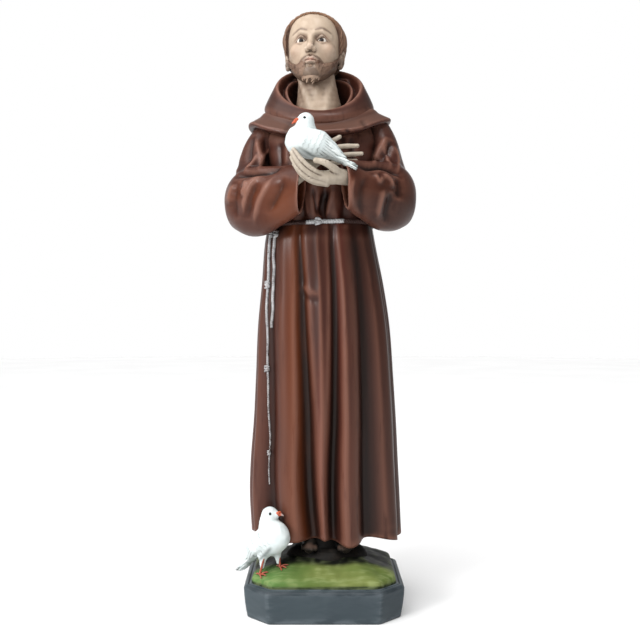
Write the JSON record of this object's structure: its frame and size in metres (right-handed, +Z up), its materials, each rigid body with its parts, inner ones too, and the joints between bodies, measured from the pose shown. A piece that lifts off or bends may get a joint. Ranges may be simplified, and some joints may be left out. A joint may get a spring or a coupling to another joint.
{
  "type": "religious figure statue",
  "caption": "Painted cast statue of a standing friar in a hooded, corded habit holding a dove, with a dove at the foot, on a chamfered grass-topped plinth.",
  "frame": {"origin": "middle of the plinth's flat underside", "axes": "+Z up, the figure faces -Y, +X is to the figure's left"},
  "size_m": [0.0971, 0.0843, 0.3044],
  "materials": {
    "plinth_paint": "satin slate-grey paint on cast resin, with a green painted grass top",
    "habit_paint": "satin brown paint with a dark wash in the folds, on cast resin",
    "held_dove_paint": "white paint with a pale grey wash, on cast resin",
    "standing_dove_paint": "white paint with a pale grey wash, on cast resin"
  },
  "bodies": {
    "root": {"plinth": "plinth_paint", "friar": "habit_paint", "held_dove": "held_dove_paint", "standing_dove": "standing_dove_paint"}
  },
  "joints": []
}
